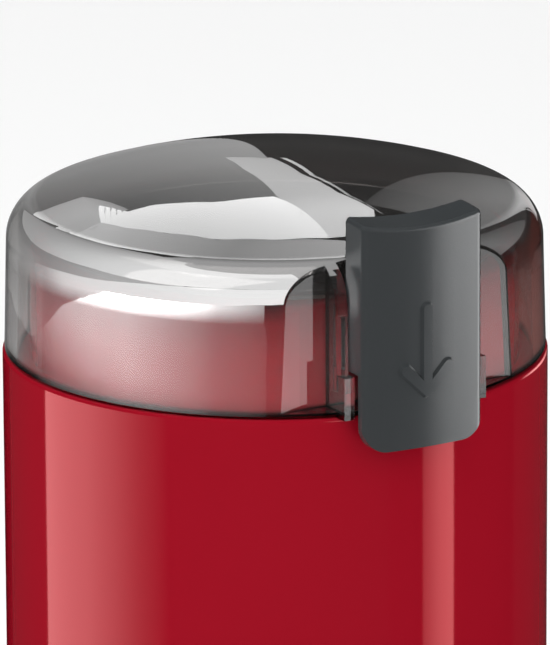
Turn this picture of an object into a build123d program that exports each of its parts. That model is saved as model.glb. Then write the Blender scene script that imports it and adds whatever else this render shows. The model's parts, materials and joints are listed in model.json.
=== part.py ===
"""Electric coffee grinder: round housing, clear domed lid, sliding start button, bowl, blade and motor.

Frame: millimetres, +Z up, origin on the grinder's axis at the surface that its feet stand on.
The start button faces -Y.
"""

import math
import os

from build123d import *

os.makedirs("parts", exist_ok=True)

# Housing
body_radius = 43.0
body_wall = 2.4
seam_height = 137.0
rim_round = 0.5
neck_height = 17.0
neck_wall = 1.8
neck_round = 1.0
neck_gap = 1.7

# Lid
lid_inset = 0.3
lid_draft = 1.5
lid_wall = 2.0
lid_side = 17.8
lid_shoulder = 6.6
lid_crown = 6.0
lid_flange = 0.9
lid_edge_chamfer = 0.5
lid_clearance = 0.35
facet_depth = 5.4
facet_round = 0.8

# Start button and the rails of the lid that guide it
button_width = 21.2
button_top_rise = 31.4
button_tail_drop = 5.1
button_reach = 3.3
button_bow_radius = 62.0
button_back_inset = 3.0
button_wall = 1.8
button_roof = 4.5
button_edge_round = 1.3
button_tail_corner = 4.0
button_top_corner = 1.0
button_tail_gap = 0.6
button_travel = 3.5
button_stop_gap = 2.7
dish_radius = 57.0
dish_tilt = 5.0
dish_back_depth = 0.95
dish_edge_round = 0.7
rail_gap = 0.25
rail_thickness = 1.8
rail_foot_height = 6.7
tongue_reach = 0.6
tongue_depth = 1.2
tongue_height = 7.8
runner_gap = 0.9
runner_width = 2.4
runner_height = 10.4
slide_clearance = 0.3

# Arrow raised on the button's face
arrow_width = 2.2
arrow_top_rise = 18.0
arrow_tip_rise = 2.7
arrow_wing_span = 3.7
arrow_wing_rise = 3.7
arrow_relief = 0.5
arrow_draft = 35.0
arrow_sink = 0.4

# Push rod between the button and the safety switch
rod_width = 6.0
rod_depth = 1.7
rod_clearance = 0.3
rod_sink = 1.0
rod_foot_gap = 0.3
rod_ear_width = 10.0
rod_ear_height = 3.0
guide_thickness = 1.6
guide_height = 20.0
guide_drop = 8.0
rod_foot_thickness = 2.4

# Grinding bowl, its gasket and the seal round the shaft
bowl_margin = 12.0
bowl_wall = 0.8
bowl_share = 0.32
bowl_corner = 9.0
bowl_rim_width = 4.2
bowl_seat_clearance = 0.4
gasket_thickness = 0.8
seal_radius = 7.0
seal_flange_radius = 10.0
seal_flange_height = 1.6
seal_lip_gap = 0.08

# Blade and the parts that hold it on the shaft
blade_tip_gap = 4.0
blade_width = 13.0
blade_thickness = 1.6
blade_bend = 14.0
blade_flat = 9.0
blade_tip_lead = 2.5
blade_tip_trail = 5.5
blade_tip_rake = 1.5
blade_bevel = 1.0
blade_hub_radius = 6.5
blade_hub_height = 4.0
blade_seal_gap = 0.4
nut_across_flats = 10.0
nut_height = 5.0
nut_dome = 2.0
nut_cap_share = 0.44
shaft_in_nut = 4.0

# Motor bracket and how it hangs in the housing
bracket_margin = 13.0
bracket_thickness = 4.0
bracket_bowl_gap = 5.0
post_radius = 4.2
post_sink = 0.4
post_angle = 90.0
damper_thickness = 2.0
lug_width = 9.0
bearing_length = 8.0
bearing_wall = 2.5
bearing_boss_wall = 3.0
bearing_clearance = 0.03
seat_clearance = 0.02

# Motor
shaft_radius = 3.0
stator_side_margin = 15.0
stator_end_margin = 18.0
stator_corner_share = 0.2
stator_stack = 24.0
stator_drop = 9.0
yoke_share = 0.08
yoke_end_share = 0.13
pole_share = 0.32
pole_shoe_depth_share = 0.23
pole_shoe_share = 0.89
rotor_share = 0.25
air_gap = 0.6
thrust_gap = 0.4
spacer_radius = 5.0
coil_gap = 0.3
coil_share = 0.48
slot_count = 12
slot_width_share = 0.21
slot_mouth = 1.4
slot_depth_share = 0.38
slot_lip = 1.0
winding_height = 7.0
winding_gap = 0.15
commutator_share = 0.6
commutator_length = 12.0
commutator_gap = 1.5
commutator_slit = 0.5
commutator_slit_depth = 0.8
stator_screw_gap = 1.0
standoff_radius = 3.2

# Brushes and the lower bracket
brush_width = 5.0
brush_height = 7.0
brush_length = 8.5
brush_gap = 0.15
brush_clearance = 0.1
holder_wall = 0.8
holder_gap = 2.0
holder_proud = 1.5
brush_cap_thickness = 1.5
lower_bearing_drop = 6.0
lower_plate = 5.0
bridge_inset = 4.0
brush_spring_radius = 1.7
brush_spring_wire = 0.5
brush_spring_turns = 5

# Safety switch and its bracket
switch_sheet = 1.2
switch_flange = 2.6
switch_width = 12.0
switch_depth = 7.0
switch_height = 10.0
switch_offset = 5.0
switch_round = 0.6
switch_screw_share = 0.7
switch_margin = 13.5
switch_shelf_drop = 21.0
plunger_radius = 1.5
plunger_spare = 0.6
plunger_sink = 2.0
spring_radius = 2.4
spring_wire = 0.7
spring_turns = 6
spring_offset = 6.5
spring_pin_height = 2.5
terminal_length = 4.5
terminal_sheet = 0.8
terminal_share = 0.6

# Base cover, feet, cord gland and capacitor
foot_height = 1.5
foot_radius = 5.0
foot_recess = 1.2
foot_margin = 9.0
base_ring_height = 3.5
base_inset = 0.4
base_floor = 2.4
base_spigot_height = 10.0
base_spigot_wall = 2.0
base_clearance = 0.15
boss_radius = 3.2
boss_height = 20.0
boss_angle = 30.0
vent_count = 5
vent_width = 3.0
vent_length = 26.0
vent_pitch = 7.0
gland_bore = 3.3
gland_wall = 2.4
gland_depth = 8.0
gland_block_proud = 0.6
gland_sleeve_wall = 1.6
gland_flange = 1.5
gland_flange_depth = 2.0
gland_clearance = 0.15
capacitor_width = 18.0
capacitor_depth = 8.5
capacitor_height = 15.0
capacitor_margin = 19.0
capacitor_round = 1.0

# Screws: thread radius, and the same head for each length
screw_radius = 1.4
screw_head_radius = 2.7
screw_head_height = 2.0
screw_clearance = 0.1
base_screw_length = 14.0
bracket_screw_length = 12.0
stator_screw_bite = 6.0
switch_screw_radius = 0.9
switch_screw_head = 1.7
screw_cross_span = 1.4
screw_cross_width = 0.25

# Heights and radii that follow from the sizes above
body_inner = body_radius - body_wall
ledge_bottom = seam_height - body_wall
base_bottom = foot_height
base_top = base_bottom + base_ring_height
base_floor_top = base_bottom + base_floor
lid_radius = body_radius - lid_inset
lid_lean = neck_height * math.tan(math.radians(lid_draft))
lid_inner = lid_radius - lid_wall - lid_lean
facet_distance = lid_radius - facet_depth
neck_radius = lid_inner - neck_gap
neck_flat = facet_distance - lid_wall - lid_clearance
neck_top = seam_height + neck_height
bowl_radius = body_radius - bowl_margin
bowl_depth = bowl_share * seam_height
bowl_outer = bowl_radius + bowl_wall
bowl_seat_radius = bowl_outer + bowl_seat_clearance
bowl_rim_bottom = neck_top + gasket_thickness
bowl_rim_top = bowl_rim_bottom + bowl_wall
bowl_floor = bowl_rim_top - bowl_depth
bowl_underside = bowl_floor - bowl_wall
bracket_radius = body_radius - bracket_margin
bracket_top = bowl_underside - bracket_bowl_gap
bracket_bottom = bracket_top - bracket_thickness
post_bottom = bracket_top + damper_thickness
post_pitch = body_inner - post_radius + post_sink
boss_pitch = body_inner - boss_radius + post_sink
stator_top = bracket_bottom - stator_drop
stator_bottom = stator_top - stator_stack
stator_middle = (stator_top + stator_bottom) / 2
stator_width = 2 * (body_radius - stator_side_margin)
stator_depth = 2 * (body_radius - stator_end_margin)
stator_corner = stator_corner_share * stator_depth
yoke_side = yoke_share * stator_width
yoke_end = yoke_end_share * stator_depth
pole_width = pole_share * stator_depth
coil_build = coil_share * (stator_depth / 2 - yoke_end - pole_width / 2)
rotor_radius = rotor_share * stator_width
pole_shoe = pole_shoe_depth_share * rotor_radius
pole_shoe_half = pole_shoe_share * rotor_radius
stator_bore = rotor_radius + air_gap
slot_width = slot_width_share * rotor_radius
slot_depth = slot_depth_share * rotor_radius
commutator_radius = commutator_share * rotor_radius
winding_bottom = stator_bottom - winding_height
commutator_top = winding_bottom - commutator_gap
commutator_bottom = commutator_top - commutator_length
brush_level = (commutator_top + commutator_bottom) / 2
lower_plate_top = commutator_bottom - lower_bearing_drop
lower_plate_bottom = lower_plate_top - lower_plate
bearing_outer = shaft_radius + bearing_clearance + bearing_wall
seal_top = bowl_floor + seal_flange_height
blade_hub_bottom = seal_top + blade_seal_gap
blade_bottom = blade_hub_bottom + blade_hub_height
blade_top = blade_bottom + blade_thickness
nut_top = blade_top + nut_height + nut_dome
boss_bottom = base_floor_top + base_clearance
gland_half = gland_bore + gland_wall
gland_level = base_floor_top + gland_half
gland_front = body_radius + gland_block_proud
gland_back = gland_front - gland_depth
boss_top = bracket_bottom + bearing_length
stator_screw_row = stator_depth - yoke_end
stator_screw_span = pole_width + 2 * stator_screw_gap
leg_width = stator_width / 2
coil_start = stator_bore + pole_shoe + coil_gap
coil_end = stator_width / 2 - yoke_side - coil_gap
shaft_top = blade_top + shaft_in_nut
shaft_bottom = lower_plate_top - bearing_length
holder_start = commutator_radius + holder_gap
holder_end = stator_depth / 2 + holder_proud
brush_end = commutator_radius + brush_length

# The button hangs in the channel between the rails, ahead of the lid's flat facet
button_half = button_width / 2
button_front = body_radius + button_reach
button_back = body_radius - button_back_inset
sleeve_end = button_front + arrow_relief
button_top = seam_height + button_top_rise
button_bottom = seam_height - button_tail_drop
button_deep_bottom = seam_height + lid_flange + button_travel + button_stop_gap
tail_back = body_radius + button_tail_gap
rail_inner = button_half + rail_gap
rail_middle = rail_inner + rail_thickness / 2
runner_back = facet_distance + runner_gap
runner_front = button_back + runner_gap / 4
tongue_back = runner_back + runner_gap / 4
tongue_bottom = button_deep_bottom + runner_gap / 2
rod_outer = body_inner - 2 * rod_clearance
rod_inner = rod_outer - rod_depth
rod_centre = (rod_outer + rod_inner) / 2
foot_bottom = seam_height - rod_sink + rod_foot_gap
rod_top = seam_height - rod_sink
switch_plate_distance = body_radius - switch_margin
switch_shelf = bracket_bottom - switch_shelf_drop
switch_top = switch_shelf + switch_height
rod_bottom = switch_top + button_travel + plunger_spare
switch_middle = switch_plate_distance + switch_depth / 2


def front_flat_disc(radius, flat):
    """A disc with its front cut straight at a distance from the axis."""
    with BuildSketch() as disc:
        Circle(radius)
        with Locations((0, -flat - radius / 2)):
            Rectangle(3 * radius, radius, mode=Mode.SUBTRACT)
    return disc.sketch


def front_box(x_size, near, far, low, high, x_middle=0.0):
    """A block ahead of the axis, from one distance to another and one height to another."""
    with BuildPart() as block:
        with BuildSketch(Plane.XY.offset(low)):
            with Locations((x_middle, -(near + far) / 2)):
                Rectangle(x_size, far - near)
        extrude(amount=high - low)
    return block.part


def lid_form(inset):
    """The lid's revolved form, moved inwards by inset: leaning side, round shoulder and tangent dome."""
    lean = math.radians(lid_draft)
    side_drop = lid_side + lid_shoulder * math.sin(lean)
    shoulder_centre = lid_radius - side_drop * math.tan(lean) - lid_shoulder * math.cos(lean)
    rise = lid_shoulder + lid_crown
    dome = (shoulder_centre**2 + rise**2 - lid_shoulder**2) / (2 * (rise - lid_shoulder))
    dome_centre = lid_side + rise - dome
    tangent = math.degrees(math.atan2(lid_side - dome_centre, shoulder_centre))
    bend = lid_shoulder - inset
    foot_radius = lid_radius - inset / math.cos(lean)
    with BuildPart() as form:
        with BuildSketch(Plane.XZ):
            with BuildLine():
                foot = (foot_radius, seam_height)
                shoulder = CenterArc(
                    (shoulder_centre, seam_height + lid_side), bend, lid_draft, tangent - lid_draft
                )
                crown = CenterArc((0, seam_height + dome_centre), dome - inset, tangent, 90 - tangent)
                Line(foot, shoulder @ 0)
                Line(crown @ 1, (0, seam_height))
                Line((0, seam_height), foot)
            make_face()
        revolve(axis=Axis.Z)
    return form.part


def gland_outline(half, grow):
    """The cord gland's outline seen from the back: flat foot on the base, round top; grow widens it."""
    with BuildSketch() as outline:
        with Locations((0, gland_level)):
            Circle(half + grow)
        with Locations((0, gland_level - half / 2)):
            Rectangle(2 * (half + grow), half)
    return outline.sketch


def helix_path(radius, pitch, turns, base):
    """A helix as arcs, two to each quarter turn, and the points where they meet."""
    step = math.pi / 2
    slope = pitch / (2 * math.pi)
    knots = []
    for quarter in range(4 * turns + 1):
        turn = quarter * step
        place = Vector(radius * math.cos(turn), radius * math.sin(turn), base + slope * turn)
        heading = Vector(-radius * math.sin(turn), radius * math.cos(turn), slope).normalized()
        knots.append((place, heading))
    with BuildLine() as path:
        for (start, leaving), (end, arriving) in zip(knots, knots[1:]):
            chord = end - start
            both = leaving + arriving
            square = both.dot(both) - 4
            linear = chord.dot(both)
            reach = (linear - math.sqrt(linear**2 - square * chord.dot(chord))) / square
            first = start + leaving * reach
            second = end - arriving * reach
            joint = (first + second) / 2
            TangentArc(start, joint, tangent=leaving)
            TangentArc(joint, end, tangent=second - first)
    return path.line


def coil_spring(radius, wire, turns, length):
    """A compression spring standing on z 0, one unbroken wire; prints the gap between its turns."""
    pitch = (length - wire) / turns
    path = helix_path(radius, pitch, turns, wire / 2)
    with BuildPart() as spring:
        with BuildSketch(Plane(origin=path @ 0, z_dir=path % 0)):
            Circle(wire / 2)
        sweep(path=path)
    print("spring of", turns, "turns, gap between turns", round(pitch - wire, 2))
    return spring.part


def screw(length, radius, head_radius, head_height):
    """A pan head screw pointing up, with the underside of its head at z 0."""
    with BuildPart() as fastener:
        with BuildSketch(Plane.XY.offset(-head_height)):
            Circle(head_radius)
        extrude(amount=head_height)
        fillet(fastener.edges().group_by(Axis.Z)[0], head_height / 3)
        with BuildSketch():
            Circle(radius)
        extrude(amount=length)
        chamfer(fastener.edges().group_by(Axis.Z)[-1], radius / 3)
        with BuildSketch(Plane.XY.offset(-head_height)):
            Rectangle(screw_cross_span * head_radius, screw_cross_width * head_radius)
            Rectangle(screw_cross_width * head_radius, screw_cross_span * head_radius)
        extrude(amount=head_height / 2, mode=Mode.SUBTRACT)
    return fastener.part


# Housing: tube, ledge for the lid, neck inside the lid, posts for the motor and bosses for the base
with BuildPart() as housing:
    with BuildSketch(Plane.XZ) as tube_section:
        with BuildLine():
            Polyline(
                (body_inner, base_top),
                (body_radius, base_top),
                (body_radius, seam_height),
                (0, seam_height),
                (0, ledge_bottom),
                (body_inner, ledge_bottom),
                close=True,
            )
        make_face()
        rim = tube_section.vertices().sort_by_distance((body_radius, seam_height, 0))[0]
        fillet(rim, rim_round)
    revolve(axis=Axis.Z)
    with BuildSketch(Plane.XY.offset(ledge_bottom)):
        add(front_flat_disc(neck_radius, neck_flat))
    extrude(amount=neck_top - ledge_bottom)
    fillet(housing.faces().sort_by(Axis.Z)[-1].outer_wire().edges(), neck_round)
    with BuildSketch(Plane.XY.offset(ledge_bottom)):
        add(front_flat_disc(neck_radius - neck_wall, neck_flat - neck_wall))
    extrude(amount=neck_top - neck_wall - ledge_bottom, mode=Mode.SUBTRACT)
    with BuildSketch(Plane.XY.offset(neck_top)):
        Circle(bowl_seat_radius)
    extrude(amount=-neck_wall, mode=Mode.SUBTRACT)
    with BuildSketch(Plane.XY.offset(seam_height)):
        with Locations((0, -rod_centre)):
            Rectangle(rod_width + 2 * rod_clearance, rod_depth + 2 * rod_clearance)
    extrude(amount=-body_wall, mode=Mode.SUBTRACT)
    with BuildSketch(Plane.XY.offset(ledge_bottom - guide_drop - guide_height)):
        guide_span = rod_width + 2 * rod_clearance + guide_thickness
        guide_reach = body_inner + body_wall / 4 - rod_inner
        with Locations((0, -(rod_inner + guide_reach / 2))):
            with GridLocations(guide_span, 0, 2, 1):
                Rectangle(guide_thickness, guide_reach)
    extrude(amount=guide_height)
    with BuildSketch(Plane.XY.offset(post_bottom)):
        with PolarLocations(post_pitch, 3, start_angle=post_angle):
            Circle(post_radius)
    extrude(amount=ledge_bottom - post_bottom)
    with BuildSketch(Plane.XY.offset(boss_bottom)):
        with PolarLocations(boss_pitch, 3, start_angle=boss_angle):
            Circle(boss_radius)
    extrude(amount=boss_height)
    with BuildSketch(Plane.XY.offset(post_bottom)):
        with PolarLocations(post_pitch, 3, start_angle=post_angle):
            Circle(screw_radius + screw_clearance)
    extrude(amount=bracket_screw_length, mode=Mode.SUBTRACT)
    with BuildSketch(Plane.XY.offset(boss_bottom)):
        with PolarLocations(boss_pitch, 3, start_angle=boss_angle):
            Circle(screw_radius + screw_clearance)
    extrude(amount=base_screw_length, mode=Mode.SUBTRACT)
    with BuildSketch(Plane.XZ):
        add(gland_outline(gland_half, gland_clearance))
    extrude(amount=-2 * body_radius, mode=Mode.SUBTRACT)
housing.part.label = "housing"
export_step(housing.part, "parts/housing.step")

# Base cover: floor with vents, ring under the housing's edge, spigot inside the housing
with BuildPart() as base_cover:
    with BuildSketch(Plane.XY.offset(base_bottom)):
        Circle(body_radius - base_inset)
    extrude(amount=base_ring_height)
    chamfer(base_cover.edges().group_by(Axis.Z)[0], base_inset)
    with BuildSketch(Plane.XY.offset(base_floor_top)):
        Circle(body_inner - base_clearance)
    extrude(amount=base_spigot_height)
    with BuildSketch(Plane.XY.offset(base_floor_top)):
        Circle(body_inner - base_clearance - base_spigot_wall)
    extrude(amount=base_spigot_height, mode=Mode.SUBTRACT)
    with BuildSketch(Plane.XY.offset(base_floor_top)):
        with PolarLocations(boss_pitch, 3, start_angle=boss_angle):
            Circle(boss_radius + 2 * base_clearance)
    extrude(amount=base_spigot_height, mode=Mode.SUBTRACT)
    with BuildSketch(Plane.XZ):
        add(gland_outline(gland_half, gland_flange + gland_clearance))
        with Locations((0, base_floor_top - gland_half)):
            Rectangle(4 * gland_half, 2 * gland_half, mode=Mode.SUBTRACT)
    extrude(amount=-2 * body_radius, mode=Mode.SUBTRACT)
    with BuildSketch(Plane.XY.offset(base_bottom)):
        with PolarLocations(boss_pitch, 3, start_angle=boss_angle):
            Circle(screw_radius + screw_clearance)
        with GridLocations(vent_pitch, 0, vent_count, 1):
            SlotOverall(vent_length, vent_width, rotation=90)
    extrude(amount=base_floor, mode=Mode.SUBTRACT)
    with BuildSketch(Plane.XY.offset(base_bottom)):
        with PolarLocations(body_radius - foot_margin, 4, start_angle=45):
            Circle(foot_radius)
    extrude(amount=foot_recess, mode=Mode.SUBTRACT)
base_cover.part.label = "base_cover"
export_step(base_cover.part, "parts/base_cover.step")

with BuildPart() as rubber_feet:
    with BuildSketch():
        with PolarLocations(body_radius - foot_margin, 4, start_angle=45):
            Circle(foot_radius - base_clearance)
    extrude(amount=foot_height + foot_recess)
    chamfer(rubber_feet.edges().group_by(Axis.Z)[0], foot_height / 3)
rubber_feet.part.label = "rubber_feet"
export_step(rubber_feet.part, "parts/rubber_feet.step")

base_screw = screw(base_screw_length, screw_radius, screw_head_radius, foot_height / 2)
with BuildPart() as base_screws:
    with PolarLocations(boss_pitch, 3, start_angle=boss_angle):
        add(base_screw.moved(Location((0, 0, base_bottom))))
base_screws.part.label = "base_screws"
export_step(base_screws.part, "parts/base_screws.step")

# Cord gland in the notch at the back: block on the base cover, flange inside, round sleeve outside.
# The sleeve stands out as far as the button does, so the axis stays in the middle of the whole.
with BuildPart() as cord_gland:
    with BuildSketch(Plane.XZ.offset(-gland_back)):
        add(gland_outline(gland_half, 0))
    extrude(amount=-gland_depth)
    with BuildSketch(Plane.XZ.offset(-gland_back)):
        add(gland_outline(gland_half, gland_flange))
        with Locations((0, base_floor_top - gland_half)):
            Rectangle(4 * gland_half, 2 * gland_half, mode=Mode.SUBTRACT)
    extrude(amount=-gland_flange_depth)
    with BuildSketch(Plane.XZ.offset(-gland_front)):
        with Locations((0, gland_level)):
            Circle(gland_bore + gland_sleeve_wall)
    extrude(amount=gland_front - sleeve_end)
    fillet(cord_gland.edges().group_by(Axis.Y)[-1], gland_sleeve_wall / 2)
    with BuildSketch(Plane.XZ.offset(-gland_back)):
        with Locations((0, gland_level)):
            Circle(gland_bore)
    extrude(amount=gland_back - sleeve_end, mode=Mode.SUBTRACT)
cord_gland.part.label = "cord_gland"
export_step(cord_gland.part, "parts/cord_gland.step")

with BuildPart() as suppression_capacitor:
    with BuildSketch(Plane.XY.offset(base_floor_top)):
        with Locations((0, capacitor_margin - body_radius)):
            RectangleRounded(capacitor_width, capacitor_depth, 1.5 * capacitor_round)
    extrude(amount=capacitor_height)
    fillet(suppression_capacitor.edges().group_by(Axis.Z)[-1], capacitor_round)
suppression_capacitor.part.label = "suppression_capacitor"
export_step(suppression_capacitor.part, "parts/suppression_capacitor.step")

# Lid: revolved shell, flat facet with rounded edges across its front, two rails that guide the button
lid_height = lid_side + lid_shoulder + lid_crown
with BuildPart() as lid_hollow:
    add(lid_form(lid_wall))
    split(bisect_by=Plane((0, -(facet_distance - lid_wall), 0), z_dir=(0, 1, 0)), keep=Keep.TOP)

with BuildPart() as lid:
    add(lid_form(0))
    chamfer(lid.edges().group_by(Axis.Z)[0], lid_edge_chamfer)
    with BuildSketch(Plane.XY.offset(seam_height + lid_flange)):
        with Locations((0, -(facet_distance + lid_radius / 2))):
            Rectangle(3 * lid_radius, lid_radius)
            with GridLocations(2 * rail_middle, 0, 2, 1):
                Rectangle(rail_thickness, 2 * lid_radius, mode=Mode.SUBTRACT)
    extrude(amount=lid_height, mode=Mode.SUBTRACT)
    facet_edges = (
        lid.edges()
        .filter_by_position(Axis.Y, -facet_distance - facet_round / 4, -facet_distance + facet_round / 4)
        .filter_by_position(Axis.Z, seam_height + 2 * lid_flange, seam_height + lid_height)
    )
    for side in (-1, 1):
        outer_part = sorted((side * lid_radius, side * (rail_middle + rail_thickness)))
        fillet(facet_edges.filter_by_position(Axis.X, *outer_part), facet_round)
    with BuildSketch(Plane.XY.offset(seam_height)):
        with Locations((0, -(facet_distance + body_radius) / 2)):
            with GridLocations(2 * rail_middle, 0, 2, 1):
                Rectangle(rail_thickness, body_radius - facet_distance)
    extrude(amount=rail_foot_height)
    add(lid_hollow.part, mode=Mode.SUBTRACT)
    slot_span = 2 * (button_half + tongue_reach + slide_clearance)
    with BuildSketch(Plane.XY.offset(tongue_bottom - button_travel - slide_clearance)):
        with Locations((0, -(tongue_back + tongue_depth / 2))):
            Rectangle(slot_span, tongue_depth + 2 * slide_clearance)
    extrude(amount=tongue_height + button_travel + 2 * slide_clearance, mode=Mode.SUBTRACT)
    with BuildSketch(Plane.XY.offset(seam_height)):
        with Locations((0, -rod_centre)):
            Rectangle(rod_width + 2 * rod_clearance, rod_depth + 2 * rod_clearance)
    extrude(amount=lid_flange, mode=Mode.SUBTRACT)
lid.part.label = "lid"
export_step(lid.part, "parts/lid.step")

# Start button: bowed cap with a dished top and a raised arrow, tail over the housing, runners, foot
bow_centre = button_front - button_bow_radius
button_edge = bow_centre + math.sqrt(button_bow_radius**2 - button_half**2)
arrow_foot = arrow_width + 2 * arrow_sink * math.tan(math.radians(arrow_draft))
with BuildPart() as arrow:
    with BuildSketch(Plane.XZ.offset(button_front - arrow_sink)):
        stem_length = arrow_top_rise - arrow_tip_rise - arrow_width
        with Locations((0, seam_height + (arrow_top_rise + arrow_tip_rise) / 2)):
            SlotCenterToCenter(stem_length, arrow_foot, rotation=90)
        wing_length = math.hypot(arrow_wing_span, arrow_wing_rise)
        wing_angle = math.degrees(math.atan2(arrow_wing_rise, arrow_wing_span))
        for side in (-1, 1):
            wing_middle = seam_height + arrow_tip_rise + (arrow_width + arrow_wing_rise) / 2
            with Locations((side * arrow_wing_span / 2, wing_middle)):
                SlotCenterToCenter(wing_length, arrow_foot, rotation=side * wing_angle)
    extrude(amount=arrow_sink + arrow_relief, taper=arrow_draft)
    with BuildSketch(Plane.XY.offset(seam_height)):
        with Locations((0, -bow_centre)):
            Circle(button_bow_radius + arrow_relief)
            Circle(button_bow_radius - button_wall / 2, mode=Mode.SUBTRACT)
    extrude(amount=button_top_rise, mode=Mode.INTERSECT)

with BuildPart() as start_button:
    with BuildSketch(Plane.XY.offset(button_bottom)):
        with BuildLine():
            Polyline(
                (-button_half, -button_edge),
                (-button_half, -button_back),
                (button_half, -button_back),
                (button_half, -button_edge),
            )
            ThreePointArc((-button_half, -button_edge), (0, -button_front), (button_half, -button_edge))
        make_face()
    extrude(amount=button_top - button_bottom)
    fillet(start_button.edges().filter_by(Axis.Z).group_by(Axis.Y)[0], button_edge_round)
    with BuildSketch(Plane.XZ) as face_view:
        with Locations((0, (button_top + button_bottom) / 2)):
            Rectangle(button_width, button_top - button_bottom)
        fillet(face_view.vertices().group_by(Axis.Y)[0], button_tail_corner)
        fillet(face_view.vertices().group_by(Axis.Y)[-1], button_top_corner)
    extrude(amount=2 * button_front, mode=Mode.INTERSECT)
    add(
        front_box(2 * button_width, facet_distance, tail_back, button_bottom, button_deep_bottom),
        mode=Mode.SUBTRACT,
    )
    hollow_width = button_width - 2 * button_wall
    hollow_front = button_edge - button_wall
    hollow_bottom = button_deep_bottom + button_wall
    hollow_top = button_top - button_roof
    add(
        front_box(hollow_width, facet_distance, hollow_front, hollow_bottom, hollow_top),
        mode=Mode.SUBTRACT,
    )
    dish_slope = math.radians(dish_tilt)
    dish_plane = Plane(
        origin=(0, -button_back, button_top - dish_back_depth + dish_radius / math.cos(dish_slope)),
        x_dir=(1, 0, 0),
        z_dir=(0, -math.cos(dish_slope), -math.sin(dish_slope)),
    )
    with BuildSketch(dish_plane):
        Circle(dish_radius)
    extrude(amount=button_width, both=True, mode=Mode.SUBTRACT)
    top_edges = start_button.edges().filter_by(GeomType.LINE, reverse=True).group_by(Axis.Y)[0]
    dish_front = top_edges.sort_by(Axis.Z)[-1]
    fillet(dish_front, dish_edge_round)
    runner_bottom = button_deep_bottom
    runner_top = runner_bottom + runner_height
    tongue_width = runner_width + tongue_reach
    tongue_front = tongue_back + tongue_depth
    tongue_top = tongue_bottom + tongue_height
    for side in (-1, 1):
        runner_middle = side * (button_half - runner_width / 2)
        add(front_box(runner_width, runner_back, runner_front, runner_bottom, runner_top, runner_middle))
        tongue_middle = runner_middle + side * tongue_reach / 2
        add(front_box(tongue_width, tongue_back, tongue_front, tongue_bottom, tongue_top, tongue_middle))
    add(front_box(rod_width, rod_inner, hollow_front, button_deep_bottom, hollow_bottom))
    add(front_box(rod_width, rod_inner, rod_outer, foot_bottom, hollow_bottom))
    add(arrow.part)
start_button.part.label = "start_button"
export_step(start_button.part, "parts/start_button.step")

# Push rod inside the housing's front wall, with a foot over the switch and the return spring
ear_top = ledge_bottom - rod_foot_gap
rod_foot_width = switch_offset + spring_offset + 2 * (spring_radius + spring_wire)
rod_foot_middle = (spring_offset - switch_offset) / 2
rod_foot_back = switch_plate_distance + switch_sheet
rod_foot_front = switch_plate_distance + switch_depth
with BuildPart() as push_rod:
    add(front_box(rod_width, rod_inner, rod_outer, rod_bottom, rod_top))
    add(front_box(rod_ear_width, rod_inner, rod_outer, ear_top - rod_ear_height, ear_top))
    add(front_box(rod_width, rod_foot_back, rod_outer, rod_bottom, rod_bottom + rod_foot_thickness))
    add(
        front_box(
            rod_foot_width,
            rod_foot_back,
            rod_foot_front,
            rod_bottom,
            rod_bottom + rod_foot_thickness,
            rod_foot_middle,
        )
    )
push_rod.part.label = "push_rod"
export_step(push_rod.part, "parts/push_rod.step")

# Safety switch: case on a sheet bracket under the motor bracket, with its plunger, terminals and screws
with BuildPart() as safety_switch:
    add(
        front_box(
            switch_width,
            switch_plate_distance,
            switch_plate_distance + switch_depth,
            switch_shelf,
            switch_top,
            -switch_offset,
        )
    )
    fillet(safety_switch.edges().filter_by(Axis.Z), switch_round)
    with BuildSketch(Plane.XY.offset(switch_top)):
        with Locations((-switch_offset, -switch_middle)):
            Circle(plunger_radius + bearing_clearance)
    extrude(amount=-(plunger_sink + button_travel + plunger_spare), mode=Mode.SUBTRACT)
    with BuildSketch(Plane.XZ.offset(switch_plate_distance)):
        with Locations((-switch_offset, switch_shelf + switch_height / 4)):
            with GridLocations(switch_screw_share * switch_width, 0, 2, 1):
                Circle(switch_screw_radius + bearing_clearance)
    extrude(amount=switch_depth, mode=Mode.SUBTRACT)
safety_switch.part.label = "safety_switch"
export_step(safety_switch.part, "parts/safety_switch.step")

with BuildPart() as switch_plunger:
    with BuildSketch(Plane.XY.offset(switch_top - plunger_sink)):
        with Locations((-switch_offset, -switch_middle)):
            Circle(plunger_radius)
    extrude(amount=rod_bottom - switch_top + plunger_sink)
switch_plunger.part.label = "switch_plunger"
export_step(switch_plunger.part, "parts/switch_plunger.step")

with BuildPart() as switch_terminals:
    with BuildSketch(Plane.YZ.offset(-switch_offset - switch_width / 2)):
        with Locations((-switch_middle, switch_shelf + switch_height / 2)):
            with GridLocations(0, switch_height / 2, 1, 2):
                Rectangle(terminal_share * switch_depth, terminal_sheet)
    extrude(amount=-terminal_length)
switch_terminals.part.label = "switch_terminals"
export_step(switch_terminals.part, "parts/switch_terminals.step")

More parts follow.
